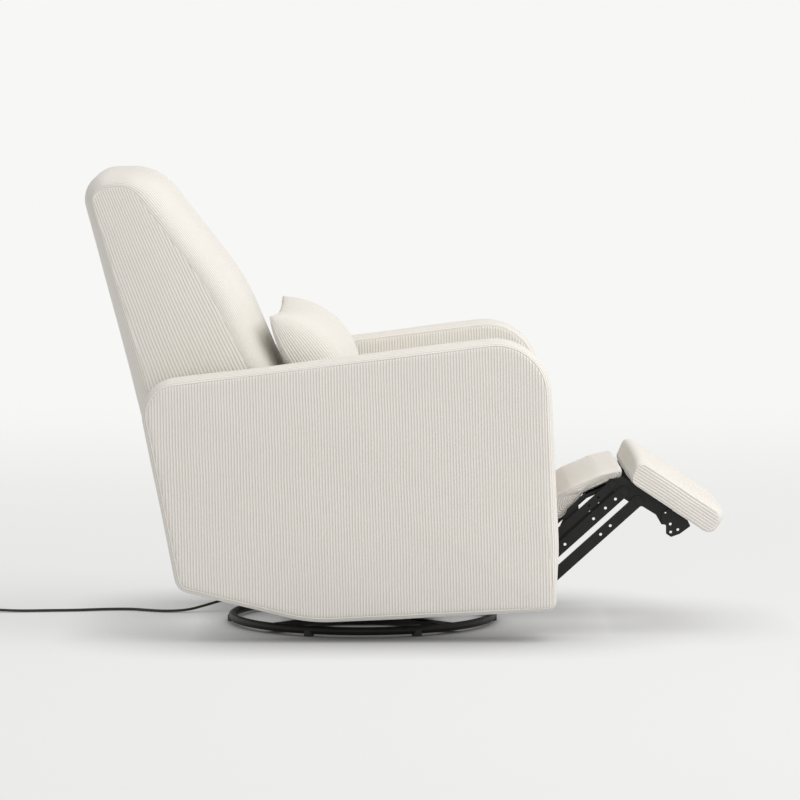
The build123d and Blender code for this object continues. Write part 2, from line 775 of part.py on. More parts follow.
with BuildPart() as motor_hangers:
    for x, y, z in (
        (cross_rail_x, -drive_y, leg_axis_z), (-cross_rail_x, -drive_y, leg_axis_z),
        (cross_rail_x, drive_y, back_axis_z), (-cross_rail_x, drive_y, back_axis_z),
    ):
        with Locations((x, y, z)):
            Box(*hanger_size, cross_rail_bottom - z, align=(Align.CENTER, Align.CENTER, Align.MIN))
    for y, z, tube_x, side in (
        (-drive_y, leg_axis_z, leg_tube_x, -1), (drive_y, back_axis_z, back_tube_x, 1),
    ):
        box_x = tube_x[0] if side < 0 else tube_x[1]
        near = Align.MAX if side < 0 else Align.MIN
        with Locations(Location((tube_x[0], y, z), (0, 90, 0))):
            Cylinder(drive_tube, tube_x[1] - tube_x[0], align=(Align.CENTER, Align.CENTER, Align.MIN),
                     mode=Mode.SUBTRACT)
        with Locations((box_x, y, z)):
            Box(*motor_size, align=(near, Align.CENTER, Align.CENTER), mode=Mode.SUBTRACT)
save(motor_hangers, "motor_hangers")

# Back: cushion over a plywood frame, on brackets that turn on the pivot bolts
frame_outline = [(-290, 395), (-472, 832), (-458, 838), (-274, 395)]
with BuildPart() as back_frame:
    with BuildSketch(Plane.XZ):
        with BuildLine():
            Polyline(*frame_outline, close=True)
        make_face()
    extrude(amount=back_frame_half, both=True)
save(back_frame, "back_frame")

back_lean = math.degrees(math.atan2(back_corners[1][1] - back_corners[0][1],
                                    back_corners[1][0] - back_corners[0][0]))
with BuildPart() as back_panel:
    with BuildSketch(Plane(origin=(back_corners[0][0], 0, back_corners[0][1]),
                           x_dir=(math.cos(math.radians(back_lean)), 0, math.sin(math.radians(back_lean))),
                           z_dir=(0, -1, 0))):
        with Locations(((back_panel_run[0] + back_panel_run[1]) / 2, -back_panel_thickness / 2)):
            Rectangle(back_panel_run[1] - back_panel_run[0], back_panel_thickness)
    extrude(amount=back_panel_half, both=True)
save(back_panel, "back_panel")

back_bottom = back_corners[0][1]
with BuildPart() as back_base:
    with Locations(((base_bar_x[0] + base_bar_x[1]) / 2, 0, back_bottom)):
        Box(base_bar_x[1] - base_bar_x[0], 2 * back_bracket_inner, cross_thickness,
            align=(Align.CENTER, Align.CENTER, Align.MAX))
save(back_base, "back_base")


def back_section(share):
    # the side view of the cushion, drawn in by a share of the roll at its sides
    rear = share * back_rear_inset
    front = share * back_front_inset
    lift = share * back_bottom_inset
    lower_rear, upper_rear, upper_front, brow, lower_front = back_corners
    corners = [
        (lower_rear[0] + rear, lower_rear[1] + lift),
        (upper_rear[0] + rear, upper_rear[1] - rear),
        (upper_front[0] - 0.7 * front, upper_front[1] - rear),
        (brow[0] - front, brow[1]),
        (lower_front[0] - front, lower_front[1] + lift),
    ]
    radii = list(back_radii)
    radii[1] -= rear
    radii[2] -= 0.9 * front
    return corners, radii


back_stations = [(0, 0)]
for roll_angle in back_roll_angles:
    turn = math.radians(roll_angle)
    back_stations.append((back_half - back_roll * (1 - math.sin(turn)), 1 - math.cos(turn)))
with BuildPart() as back_cushion:
    for y, share in [(-y, s) for y, s in reversed(back_stations)] + back_stations[1:]:
        section_corners, section_radii = back_section(share)
        with BuildSketch(side_plane(-y)):
            with BuildLine():
                FilletPolyline(*section_corners, radius=section_radii, close=True)
            make_face()
    loft(ruled=True)
    for fitted in (back_frame, back_panel):
        add(fitted.part, mode=Mode.SUBTRACT)
save(back_cushion, "back_cushion")

with BuildPart() as back_brackets:
    with BuildSketch(side_plane(back_bracket_inner)):
        with Locations(back_pivot):
            Circle(back_bracket_radius)
        with Locations(((base_bar_x[0] + base_bar_x[1]) / 2, back_bottom - cross_thickness / 2)):
            Rectangle(base_bar_x[1] - base_bar_x[0], cross_thickness)
        make_hull()
        with Locations(back_pivot):
            Circle(pivot_bolt_radius + running_clearance, mode=Mode.SUBTRACT)
    extrude(amount=plate)
    mirror(about=Plane.XZ)
save(back_brackets, "back_brackets")

lever_top = back_bottom - cross_thickness
with BuildPart() as back_lever:
    with BuildSketch(side_plane(-lever_inner)):
        with Locations(lever_pin):
            Circle(lever_boss)
        with Locations((back_pivot[0], lever_top - lever_foot[1] / 2)):
            Rectangle(*lever_foot)
        make_hull()
    extrude(amount=-(lever_outer - lever_inner))
    with Locations(Location((lever_pin[0], lever_outer, lever_pin[1]), (-90, 0, 0))):
        Cylinder(lever_pin_radius, drive_y + yoke_depth / 2 + lever_pin_overrun - lever_outer,
                 align=(Align.CENTER, Align.CENTER, Align.MIN))
save(back_lever, "back_lever")

# Loose pillow: lens sections from end to end
pillow_normal = (-pillow_down[1], pillow_down[0])
with BuildPart() as lumbar_pillow:
    for y, front, rear in pillow_sections:
        top = pillow_top
        bottom = (top[0] + pillow_height * pillow_down[0], top[1] + pillow_height * pillow_down[1])
        middle = ((top[0] + bottom[0]) / 2, (top[1] + bottom[1]) / 2)
        front_middle = (middle[0] + front * pillow_normal[0], middle[1] + front * pillow_normal[1])
        rear_middle = (middle[0] - rear * pillow_normal[0], middle[1] - rear * pillow_normal[1])
        with BuildSketch(side_plane(-y)):
            with BuildLine():
                ThreePointArc(top, front_middle, bottom)
                ThreePointArc(bottom, rear_middle, top)
            make_face()
    loft()
save(lumbar_pillow, "lumbar_pillow")

# Power inlet box on the base and the mains lead
with BuildPart() as power_inlet:
    with Locations((inlet_at[0], inlet_at[1], cross_top)):
        Box(*inlet_size, align=(Align.CENTER, Align.CENTER, Align.MIN))
    with Locations(Location(cord_exit, (0, 90, 0))):
        Cylinder(gland_radius, gland_length, align=(Align.CENTER, Align.CENTER, Align.MIN))
save(power_inlet, "power_inlet")


def bend_radii(points):
    # the largest arc that the two runs at each inner point allow
    radii = []
    for before, here, after in zip(points, points[1:], points[2:]):
        first = Vector(*here) - Vector(*before)
        second = Vector(*after) - Vector(*here)
        half_turn = math.radians(first.get_angle(second)) / 2
        radii.append(0.45 * min(first.length, second.length) / math.tan(half_turn))
    return radii


cord_radii = bend_radii(cord_route)
print("cord bend radii", [round(radius) for radius in cord_radii])
with BuildPart() as power_cord:
    with BuildLine() as cord_line:
        FilletPolyline(*cord_route, radius=cord_radii)
    with BuildSketch(Plane(origin=cord_line.line @ 0, z_dir=cord_line.line % 0)):
        Circle(cord_radius)
    sweep()
cord_length = sum(edge.length for edge in cord_line.edges())
print("cord length", round(cord_length), "volume ratio",
      round(power_cord.part.volume / (math.pi * cord_radius**2 * cord_length), 4))
save(power_cord, "power_cord")

# Coil: half turns inwards, one that climbs, and half turns outwards on top
coil_z = cord_route[-1][2]
with BuildPart() as cord_coil:
    with BuildLine() as coil_line:
        here = Vector(coil_centre[0], coil_centre[1] - coil_radius, coil_z)
        Line(cord_route[-1], here)
        inward = [coil_radius - coil_pitch / 2 * k for k in range(coil_half_turns)]
        climb = inward[-1] - coil_pitch / 2
        outward = [inward[-1] + coil_pitch / 2 * k for k in range(coil_half_turns - 1)]
        for turn, radius in enumerate(inward + [climb] + outward):
            side = 1 if turn % 2 == 0 else -1
            rise = coil_pitch if turn == coil_half_turns else 0
            there = here + Vector(0, 2 * side * radius, rise)
            centre = (here + there) / 2
            ThreePointArc(here, centre + Vector(-side * (there - here).length / 2, 0, 0), there)
            here = there
        tail_end = here - Vector(coil_tail, 0, 0)
        Line(here, tail_end)
    with BuildSketch(Plane(origin=coil_line.line @ 0, z_dir=coil_line.line % 0)):
        Circle(cord_radius)
    sweep()
save(cord_coil, "cord_coil")
coil_length = sum(edge.length for edge in coil_line.edges())
coil_wire = coil_line.wires()[0]
coil_points = [coil_wire @ (k / coil_samples) for k in range(coil_samples)]
apart = math.ceil(3 * cord_diameter * coil_samples / coil_length)
least_gap = min(
    (here - there).length for k, here in enumerate(coil_points) for there in coil_points[k + apart:]
) - cord_diameter
print("coil length", round(coil_length), "least gap", round(least_gap, 2), "volume ratio",
      round(cord_coil.part.volume / (math.pi * cord_radius**2 * coil_length), 4))

tie_low = coil_z - cord_radius - tie_room
tie_inside = (
    coil_radius - min(inward) + cord_diameter + tie_room + tie_slack,
    coil_pitch + cord_diameter + 2 * tie_room,
)
tie_x = coil_centre[0] - coil_radius - cord_radius - tie_room + tie_inside[0] / 2
with BuildPart() as coil_tie:
    with Locations((tie_x, coil_centre[1], tie_low - tie_wall)):
        Box(tie_inside[0] + 2 * tie_wall, tie_width, tie_inside[1] + 2 * tie_wall,
            align=(Align.CENTER, Align.CENTER, Align.MIN))
    with Locations((tie_x, coil_centre[1], tie_low)):
        Box(tie_inside[0], tie_width, tie_inside[1], align=(Align.CENTER, Align.CENTER, Align.MIN),
            mode=Mode.SUBTRACT)
save(coil_tie, "coil_tie")

plug_at = tail_end
with BuildPart() as plug:
    with Locations((plug_at.X, plug_at.Y, plug_at.Z)):
        Box(*plug_body, 2 * plug_at.Z, align=(Align.MAX, Align.CENTER, Align.CENTER))
    fillet(plug.edges().filter_by(Axis.X), plug_edge)
    for y in (-pin_spacing / 2, pin_spacing / 2):
        with Locations((plug_at.X - plug_body[0], plug_at.Y + y, plug_at.Z)):
            Box(*pin_size, align=(Align.MAX, Align.CENTER, Align.CENTER))
save(plug, "plug")
print("whole lead", round(cord_length + coil_length))
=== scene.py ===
import json
import math

import bpy
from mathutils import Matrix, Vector, noise


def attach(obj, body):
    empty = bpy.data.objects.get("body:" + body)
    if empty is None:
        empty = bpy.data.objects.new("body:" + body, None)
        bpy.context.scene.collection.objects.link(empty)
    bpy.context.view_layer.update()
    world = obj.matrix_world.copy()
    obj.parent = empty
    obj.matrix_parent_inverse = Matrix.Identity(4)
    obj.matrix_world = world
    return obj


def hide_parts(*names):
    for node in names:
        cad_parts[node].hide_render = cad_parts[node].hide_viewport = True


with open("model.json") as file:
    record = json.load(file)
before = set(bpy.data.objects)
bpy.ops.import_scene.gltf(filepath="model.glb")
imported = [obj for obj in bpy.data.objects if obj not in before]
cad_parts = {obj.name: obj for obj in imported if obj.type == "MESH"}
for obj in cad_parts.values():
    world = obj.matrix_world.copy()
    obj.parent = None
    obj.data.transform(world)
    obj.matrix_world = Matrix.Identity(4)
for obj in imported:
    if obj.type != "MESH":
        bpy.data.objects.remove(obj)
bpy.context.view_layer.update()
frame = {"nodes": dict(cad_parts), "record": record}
nodes = frame["nodes"]
scene = bpy.context.scene
scene.view_settings.view_transform = "Standard"
print("frame loaded")

# camera: a long lens from above the back, looking slightly down at the arm
photoCamera = {"place": (-0.048, -10.5, 1.35), "target": (0.0836, 0.0, 0.4895), "lens": 214.8, "reach": 60}
camera = bpy.data.objects.new("camera", bpy.data.cameras.new("camera"))
camera.data.lens = photoCamera["lens"]
camera.data.clip_end = photoCamera["reach"]
camera.location = photoCamera["place"]
aim = Vector(photoCamera["target"]) - Vector(photoCamera["place"])
camera.rotation_euler = aim.to_track_quat("-Z", "Y").to_euler()
scene.collection.objects.link(camera)
scene.camera = camera
print("camera set")


def hexColour(text):
    # sRGB hex to the linear values that a socket takes
    parts = [int(text[k:k + 2], 16) / 255 for k in (0, 2, 4)]
    linear = [c / 12.92 if c <= 0.04045 else ((c + 0.055) / 1.055) ** 2.4 for c in parts]
    return (*linear, 1.0)


def addNode(tree, kind, options, inputs):
    # one node with its settings, its constants and its links
    node = tree.nodes.new(kind)
    for key, value in options.items():
        setattr(node, key, value)
    for key, value in inputs.items():
        if isinstance(value, bpy.types.NodeSocket):
            tree.links.new(value, node.inputs[key])
        else:
            node.inputs[key].default_value = value
    return node


def newMaterial(name):
    material = bpy.data.materials.new(name)
    material.use_nodes = True
    material.node_tree.nodes.clear()
    return material, material.node_tree


# ivory chenille, knitted in ribs: soft round ribs, a dull fuzzy nap, no gloss; the valley colour is the ivory
# darkened with painted shade between the ribs, the top colour the rib tops; sizes in mm, the fibres drawn
# coarser than they are so that they show
ribFabric = {"top": "EDEAE4", "valleyWithPaintedShade": "D8D3C9", "ribPitch": 6.2, "depth": 1.1, "fibre": 0.9,
             "drift": 4.0, "driftWidth": 111.1, "mottle": 35.7, "napShare": 0.35, "mottleShare": 0.25}


def ribbedChenille(name, across=None, fan=None):
    # across is the direction from rib to rib, fan the point that the ribs spread from; without either,
    # the ribs are counted over the cloth
    material, tree = newMaterial(name)
    place = addNode(tree, "ShaderNodeTexCoord", {}, {}).outputs["Object"]
    drift = addNode(tree, "ShaderNodeTexNoise", {},
                    {"Vector": place, "Scale": 1000 / ribFabric["driftWidth"], "Detail": 1.0})
    ribTurn = 2 * math.pi / (ribFabric["ribPitch"] / 1000)
    if fan:
        apart = addNode(tree, "ShaderNodeVectorMath", {"operation": "SUBTRACT"}, {0: place, 1: fan["apex"]})
        axes = addNode(tree, "ShaderNodeSeparateXYZ", {}, {0: apart.outputs[0]})
        spread = addNode(tree, "ShaderNodeMath", {"operation": "ARCTAN2"},
                         {0: axes.outputs["X"], 1: axes.outputs["Z"]})
        lineValue = addNode(tree, "ShaderNodeMath", {"operation": "MULTIPLY"},
                            {0: spread.outputs[0], 1: fan["reach"]}).outputs[0]
    elif across:
        lineValue = addNode(tree, "ShaderNodeVectorMath", {"operation": "DOT_PRODUCT"},
                            {0: place, 1: across}).outputs["Value"]
    else:
        counted = addNode(tree, "ShaderNodeAttribute", {"attribute_name": "ribLine"}, {})
        lineValue = counted.outputs["Fac"]
    wander = addNode(tree, "ShaderNodeMath", {"operation": "MULTIPLY_ADD"},
                     {0: drift.outputs["Fac"], 1: ribFabric["drift"] / 1000, 2: lineValue})
    angle = addNode(tree, "ShaderNodeMath", {"operation": "MULTIPLY"}, {0: wander.outputs[0], 1: ribTurn})
    wave = addNode(tree, "ShaderNodeMath", {"operation": "SINE"}, {0: angle.outputs[0]})
    rib = addNode(tree, "ShaderNodeMapRange", {"interpolation_type": "SMOOTHSTEP"},
                  {"Value": wave.outputs[0], "From Min": -1.0, "From Max": 0.65})
    fibre = addNode(tree, "ShaderNodeTexNoise", {},
                    {"Vector": place, "Scale": 1000 / ribFabric["fibre"], "Detail": 2.0, "Roughness": 0.6})
    mottle = addNode(tree, "ShaderNodeTexNoise", {},
                     {"Vector": place, "Scale": 1000 / ribFabric["mottle"], "Detail": 3.0})
    nap = addNode(tree, "ShaderNodeMath", {"operation": "MULTIPLY_ADD"},
                  {0: fibre.outputs["Fac"], 1: ribFabric["napShare"], 2: rib.outputs[0]})
    shade = addNode(tree, "ShaderNodeMath", {"operation": "MULTIPLY_ADD"},
                    {0: mottle.outputs["Fac"], 1: ribFabric["mottleShare"], 2: nap.outputs[0]})
    # the mix of the two colours follows the ribs: painted shade in the valleys between them, with fibre and
    # random mottle on top
    paintedRibShadeAndMottle = addNode(tree, "ShaderNodeMapRange", {},
                   {"Value": shade.outputs[0], "From Min": 0.15, "From Max": 1.3})
    colour = addNode(tree, "ShaderNodeMix", {"data_type": "RGBA"},
                     {"Factor": paintedRibShadeAndMottle.outputs[0], 6: hexColour(ribFabric["valleyWithPaintedShade"]),
                      7: hexColour(ribFabric["top"])})
    bump = addNode(tree, "ShaderNodeBump", {},
                   {"Height": nap.outputs[0], "Strength": 0.75, "Distance": ribFabric["depth"] / 1000})
    cloth = addNode(tree, "ShaderNodeBsdfPrincipled", {},
                    {"Base Color": colour.outputs[2], "Roughness": 0.92, "Specular IOR Level": 0.2,
                     "Sheen Weight": 0.25, "Sheen Roughness": 0.5, "Normal": bump.outputs[0]})
    addNode(tree, "ShaderNodeOutputMaterial", {}, {"Surface": cloth.outputs[0]})
    return material


# mild steel under black powder coat: near black, a fine orange peel and a low satin shine; sizes in mm
powderCoat = {"colour": "0B0B0A", "worn": "181716", "peel": 1.6, "peelDepth": 0.3, "rub": 25.0,
              "roughness": 0.5, "polished": 0.08, "dulled": 0.12}


def powderCoatedSteel(name):
    material, tree = newMaterial(name)
    place = addNode(tree, "ShaderNodeTexCoord", {}, {}).outputs["Object"]
    peel = addNode(tree, "ShaderNodeTexNoise", {},
                   {"Vector": place, "Scale": 1000 / powderCoat["peel"], "Detail": 2.0})
    rub = addNode(tree, "ShaderNodeTexNoise", {},
                  {"Vector": place, "Scale": 1000 / powderCoat["rub"], "Detail": 4.0})
    rubbed = addNode(tree, "ShaderNodeMapRange", {},
                     {"Value": rub.outputs["Fac"], "From Min": 0.45, "From Max": 0.75})
    colour = addNode(tree, "ShaderNodeMix", {"data_type": "RGBA"},
                     {"Factor": rubbed.outputs[0], 6: hexColour(powderCoat["colour"]),
                      7: hexColour(powderCoat["worn"])})
    gloss = addNode(tree, "ShaderNodeMapRange", {},
                    {"Value": rub.outputs["Fac"],
                     "To Min": powderCoat["roughness"] - powderCoat["polished"],
                     "To Max": powderCoat["roughness"] + powderCoat["dulled"]})
    bump = addNode(tree, "ShaderNodeBump", {},
                   {"Height": peel.outputs["Fac"], "Strength": 0.3,
                    "Distance": powderCoat["peelDepth"] / 1000})
    paint = addNode(tree, "ShaderNodeBsdfPrincipled", {},
                    {"Base Color": colour.outputs[2], "Roughness": gloss.outputs[0],
                     "Specular IOR Level": 0.35, "Normal": bump.outputs[0]})
    addNode(tree, "ShaderNodeOutputMaterial", {}, {"Surface": paint.outputs[0]})
    return material


# zinc plated steel: bright grey metal, drawn along its length, with a faint cloudy passivation;
# sizes in mm, the drawn lines coarser than they are so that they show
zincPlate = {"colour": "B9BCBE", "cloud": "9DA1A4", "drawn": 0.5, "streak": 25.0, "cloudSize": 18.2}


def zincPlatedSteel(name):
    material, tree = newMaterial(name)
    place = addNode(tree, "ShaderNodeTexCoord", {}, {}).outputs["Object"]
    fine = 1000 / zincPlate["drawn"]
    stretched = addNode(tree, "ShaderNodeMapping", {},
                        {"Vector": place, "Scale": (1000 / zincPlate["streak"], fine, fine)})
    drawn = addNode(tree, "ShaderNodeTexNoise", {}, {"Vector": stretched.outputs[0], "Scale": 1.0})
    cloud = addNode(tree, "ShaderNodeTexNoise", {},
                    {"Vector": place, "Scale": 1000 / zincPlate["cloudSize"], "Detail": 3.0})
    colour = addNode(tree, "ShaderNodeMix", {"data_type": "RGBA"},
                     {"Factor": cloud.outputs["Fac"], 6: hexColour(zincPlate["colour"]),
                      7: hexColour(zincPlate["cloud"])})
    gloss = addNode(tree, "ShaderNodeMapRange", {},
                    {"Value": drawn.outputs["Fac"], "To Min": 0.26, "To Max": 0.44})
    metal = addNode(tree, "ShaderNodeBsdfPrincipled", {},
                    {"Base Color": colour.outputs[2], "Metallic": 1.0, "Roughness": gloss.outputs[0]})
    addNode(tree, "ShaderNodeOutputMaterial", {}, {"Surface": metal.outputs[0]})
    return material


# sawn pine and birch plywood: pale yellow brown, long grain with darker late wood; sizes in mm
sawnTimber = {"early": "D9BE93", "late": "B48D5C", "grain": 7.0, "stretch": 4.0, "fuzz": 1.43,
              "fuzzDepth": 0.4}


def sawnPine(name):
    material, tree = newMaterial(name)
    place = addNode(tree, "ShaderNodeTexCoord", {}, {}).outputs["Object"]
    along = addNode(tree, "ShaderNodeMapping", {},
                    {"Vector": place, "Scale": (1 / sawnTimber["stretch"], 1.0, 1.0)})
    grainScale = 100 * math.pi / sawnTimber["grain"]  # at scale 1 the bands repeat every pi / 10 m
    grain = addNode(tree, "ShaderNodeTexWave", {"wave_type": "BANDS", "bands_direction": "Z"},
                    {"Vector": along.outputs[0], "Scale": grainScale, "Distortion": 5.0,
                     "Detail": 3.0, "Detail Scale": 1.4})
    fuzz = addNode(tree, "ShaderNodeTexNoise", {},
                   {"Vector": along.outputs[0], "Scale": 1000 / sawnTimber["fuzz"], "Detail": 2.0})
    colour = addNode(tree, "ShaderNodeMix", {"data_type": "RGBA"},
                     {"Factor": grain.outputs["Fac"], 6: hexColour(sawnTimber["early"]),
                      7: hexColour(sawnTimber["late"])})
    bump = addNode(tree, "ShaderNodeBump", {},
                   {"Height": fuzz.outputs["Fac"], "Strength": 0.4,
                    "Distance": sawnTimber["fuzzDepth"] / 1000})
    wood = addNode(tree, "ShaderNodeBsdfPrincipled", {},
                   {"Base Color": colour.outputs[2], "Roughness": 0.72, "Normal": bump.outputs[0]})
    addNode(tree, "ShaderNodeOutputMaterial", {}, {"Surface": wood.outputs[0]})
    return material


# black ABS, moulded with a spark texture: matt, with a slight bloom of lighter grey; sizes in mm, the
# spark drawn coarser than it is so that it shows
mouldedAbs = {"colour": "1B1B1C", "bloom": "262627", "spark": 0.8, "roughness": 0.55}
# black PVC sheath, extruded: smooth, dull, a little dusty
cordSheath = {"colour": "232220", "bloom": "302F2D", "spark": 2.5, "roughness": 0.5}
# black woven elastic: crossed threads, matt
elasticStrap = {"colour": "1A1A1A", "bloom": "3A3936", "spark": 1.6, "roughness": 0.85}
polymerSkin = {"bloomSize": 16.7, "sparkDepth": 0.3}


def mattPolymer(name, look):
    material, tree = newMaterial(name)
    place = addNode(tree, "ShaderNodeTexCoord", {}, {}).outputs["Object"]
    spark = addNode(tree, "ShaderNodeTexVoronoi", {}, {"Vector": place, "Scale": 1000 / look["spark"]})
    bloom = addNode(tree, "ShaderNodeTexNoise", {},
                    {"Vector": place, "Scale": 1000 / polymerSkin["bloomSize"], "Detail": 3.0})
    colour = addNode(tree, "ShaderNodeMix", {"data_type": "RGBA"},
                     {"Factor": bloom.outputs["Fac"], 6: hexColour(look["colour"]),
                      7: hexColour(look["bloom"])})
    bump = addNode(tree, "ShaderNodeBump", {},
                   {"Height": spark.outputs["Distance"], "Strength": 0.3,
                    "Distance": polymerSkin["sparkDepth"] / 1000})
    plastic = addNode(tree, "ShaderNodeBsdfPrincipled", {},
                      {"Base Color": colour.outputs[2], "Roughness": look["roughness"],
                       "Normal": bump.outputs[0]})
    addNode(tree, "ShaderNodeOutputMaterial", {}, {"Surface": plastic.outputs[0]})
    return material


blackSteel = powderCoatedSteel("black_powder_coat")
zincSteel = zincPlatedSteel("zinc_plate")
pine = sawnPine("sawn_pine")
blackAbs = mattPolymer("moulded_abs", mouldedAbs)
blackPvc = mattPolymer("pvc_sheath", cordSheath)
blackElastic = mattPolymer("woven_elastic", elasticStrap)

armLean = math.radians(1.5)  # the arm's ribs lean a little to the rear at the top
padLean = math.radians(-33.5)  # the slope of the footrest pad
backFan = {"apex": (-0.98, 0.0, 2.05), "reach": 1.35}  # the back's ribs spread from a point above it, in m
ribsUpArm = ribbedChenille("chenille_arm_side", (math.cos(armLean), 0.0, math.sin(armLean)))
ribsAlong = ribbedChenille("chenille_lengthwise")
ribsBack = ribbedChenille("chenille_back_side", fan=backFan)
ribsPadSide = ribbedChenille("chenille_pad_side", (-math.sin(padLean), 0.0, math.cos(padLean)))
print("materials made")

finishes = {"black_steel": blackSteel, "zinc_steel": zincSteel, "timber": pine, "black_plastic": blackAbs,
            "cord_rubber": blackPvc, "webbing": blackElastic, "fabric": ribsAlong}
for part in frame["record"]["subparts"]:
    node = nodes[part["node"]]
    node.data.materials.clear()
    node.data.materials.append(finishes[part["material_slot"]])

# mains lead: out of the base behind the chair, along the floor, the rest wound in a coil out of view
lead = {
    "diameter": 0.006,
    "length": 1.755,
    "route": [(-0.220, 0.177, 0.0315), (-0.264, 0.177, 0.0315), (-0.312, 0.170, 0.025),
              (-0.352, 0.160, 0.014), (-0.392, 0.148, 0.0045), (-0.440, 0.144, 0.003),
              (-0.480, 0.163, 0.003), (-0.518, 0.186, 0.003), (-0.575, 0.184, 0.003),
              (-0.640, 0.165, 0.003), (-0.705, 0.161, 0.003), (-0.770, 0.153, 0.003),
              (-0.826, 0.160, 0.0046), (-0.860, 0.160, 0.0046)],
    "coilCentre": (-0.866, 0.202), "coilRadius": 0.042, "pitch": 0.0068, "halfTurns": 5, "tail": 0.038,
    "pointsPerHalf": 8, "roundness": 4, "stepsPerPoint": 6,
}


def coilPoints():
    # half turns inwards, one that climbs a layer, half turns outwards on top
    x, y = lead["coilCentre"]
    spot = Vector((x, y - lead["coilRadius"], lead["route"][-1][2]))
    inward = [lead["coilRadius"] - lead["pitch"] / 2 * k for k in range(lead["halfTurns"])]
    climb = [inward[-1] - lead["pitch"] / 2]
    outward = [inward[-1] + lead["pitch"] / 2 * k for k in range(lead["halfTurns"] - 1)]
    points = [spot.copy()]
    for turn, radius in enumerate(inward + climb + outward):
        side = 1 if turn % 2 == 0 else -1
        rise = lead["pitch"] if turn == lead["halfTurns"] else 0.0
        centre = spot + Vector((0, side * radius, 0))
        arm = -side * radius
        for k in range(1, lead["pointsPerHalf"] + 1):
            angle = math.pi * k / lead["pointsPerHalf"]
            lift = rise * (1 - math.cos(angle)) / 2
            points.append(centre + Vector((arm * math.sin(angle), arm * math.cos(angle), lift)))
        spot = points[-1].copy()
    points.append(spot - Vector((lead["tail"], 0, 0)))
    return points


leadCurve = bpy.data.curves.new("mains_lead", "CURVE")
leadCurve.dimensions = "3D"
leadCurve.bevel_depth = lead["diameter"] / 2
leadCurve.bevel_resolution = lead["roundness"]
leadCurve.use_fill_caps = True
leadCurve.resolution_u = lead["stepsPerPoint"]
leadSpline = leadCurve.splines.new("NURBS")
leadSpots = [Vector(p) for p in lead["route"]] + coilPoints()
leadSpline.points.add(len(leadSpots) - 1)
for point, spot in zip(leadSpline.points, leadSpots):
    point.co = (*spot, 1.0)
leadSpline.order_u = 3
leadSpline.use_endpoint_u = True
mainsLead = bpy.data.objects.new("mains_lead", leadCurve)
mainsLead.data.materials.append(blackPvc)
scene.collection.objects.link(mainsLead)
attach(mainsLead, "base")
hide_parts("power_cord", "cord_coil")


def addPiece(name, verts, faces, materials, faceSlots, body, replaced):
    # a smooth mesh that rides a body, in place of the named solids
    mesh = bpy.data.meshes.new(name)
    mesh.from_pydata(verts, [], faces)
    mesh.validate()
    for material in materials:
        mesh.materials.append(material)
    for polygon, slotIndex in zip(mesh.polygons, faceSlots):
        polygon.material_index = slotIndex
        polygon.use_smooth = True
    mesh.update()
    piece = bpy.data.objects.new(name, mesh)
    scene.collection.objects.link(piece)
    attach(piece, body)
    if replaced:
        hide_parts(*replaced)
    return piece


def storeRibs(piece, values):
    piece.data.attributes.new("ribLine", "FLOAT", "POINT").data.foreach_set("value", values)


def markRibs(piece, rings):
    # how far each point lies from the middle ring, measured over the cloth
    middle = len(rings) // 2
    reach = [[0.0] * len(rings[0]) for ring in rings]
    for r in range(middle + 1, len(rings)):
        reach[r] = [d + math.dist(p, q) for d, p, q in zip(reach[r - 1], rings[r], rings[r - 1])]
    for r in range(middle - 1, -1, -1):
        reach[r] = [d - math.dist(p, q) for d, p, q in zip(reach[r + 1], rings[r], rings[r + 1])]
    storeRibs(piece, [d for ring in reach for d in ring] + [reach[0][0], reach[-1][0]])


def closedRings(rings):
    # faces between neighbouring rings, and a fan at each end
    count = len(rings[0])
    verts = [p for ring in rings for p in ring]
    faces, bands = [], []
    for r in range(len(rings) - 1):
        for k in range(count):
            nextK = (k + 1) % count
            faces.append((r * count + k, r * count + nextK, (r + 1) * count + nextK, (r + 1) * count + k))
            bands.append(r)
    for r, flip in ((0, False), (len(rings) - 1, True)):
        middle = sum((Vector(p) for p in rings[r]), Vector()) / count
        verts.append(tuple(middle))
        for k in range(count):
            pair = (r * count + k, r * count + (k + 1) % count)
            faces.append((*pair, len(verts) - 1) if flip else (pair[1], pair[0], len(verts) - 1))
            bands.append(r)
    return verts, faces, bands


# strain relief: a ribbed boot that tapers from the gland on to the lead
boot = {"start": 0.0056, "end": 0.0034, "groove": 0.0005, "ribs": 5, "rings": 41, "points": 24, "share": 0.4}
bootFrom, bootBend = (Vector(p) for p in lead["route"][:2])
bootLeave = (bootBend + Vector(lead["route"][2])) / 2
bootTurns = [2 * math.pi * k / boot["points"] for k in range(boot["points"])]
bootRings = []
for ring in range(boot["rings"]):
    part = ring / (boot["rings"] - 1)
    along = part * boot["share"]
    centre = bootFrom * (1 - along) ** 2 + bootBend * 2 * along * (1 - along) + bootLeave * along ** 2
    radius = boot["start"] + (boot["end"] - boot["start"]) * part
    radius -= boot["groove"] * (1 - math.cos(2 * math.pi * boot["ribs"] * part)) / 2
    bootRings.append([(centre.x, centre.y + radius * math.cos(turn), centre.z + radius * math.sin(turn))
                      for turn in bootTurns])
bootVerts, bootFaces, bootBands = closedRings(bootRings)
addPiece("strain_relief", bootVerts, bootFaces, [blackPvc], [0] * len(bootBands), "base", None)
print("lead laid")

mm = 0.001
arcSteps = 12  # short straights in the arc of a corner
# rings of an end panel, from its rim to its middle
faceSteps = (0.985, 0.955, 0.91, 0.85, 0.77, 0.67, 0.55, 0.42, 0.28, 0.14)


def clamped(value):
    return min(max(value, 0), 1)


